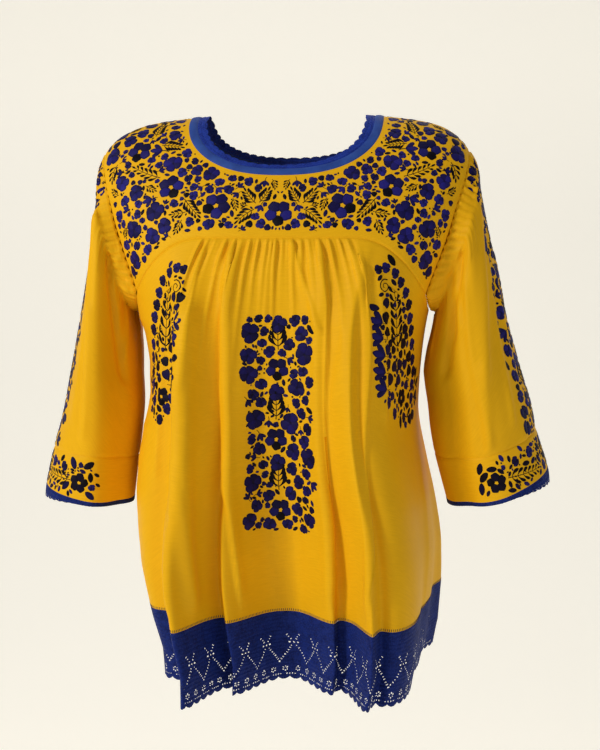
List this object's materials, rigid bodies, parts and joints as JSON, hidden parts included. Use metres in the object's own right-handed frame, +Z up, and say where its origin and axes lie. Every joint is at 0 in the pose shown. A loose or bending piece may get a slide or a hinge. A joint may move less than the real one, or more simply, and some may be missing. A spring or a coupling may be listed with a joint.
{
  "type": "embroidered blouse",
  "caption": "Hip-length cotton blouse with an embroidered square yoke, gathered body, flared three-quarter sleeves and crochet edging, filled out as worn.",
  "frame": {"origin": "the middle of the shoulder line, at the height where the shoulders carry the yoke", "axes": "+Z up, -Y to the front of the blouse, +X to the wearer's left"},
  "size_m": [0.5623, 0.3326, 0.6082],
  "materials": {
    "yellow_cotton": "plain woven cotton with a soft sheen",
    "blue_crochet": "matt crochet cotton"
  },
  "bodies": {
    "root": {"yoke_front": "yellow_cotton", "yoke_back": "yellow_cotton", "body_front": "yellow_cotton", "body_back": "yellow_cotton", "sleeve_right": "yellow_cotton", "sleeve_left": "yellow_cotton", "cuff_right": "yellow_cotton", "cuff_left": "yellow_cotton", "neck_band": "blue_crochet", "neck_crochet": "blue_crochet", "hem_crochet_front": "blue_crochet", "hem_crochet_back": "blue_crochet", "cuff_crochet_right": "blue_crochet", "cuff_crochet_left": "blue_crochet"}
  },
  "joints": []
}
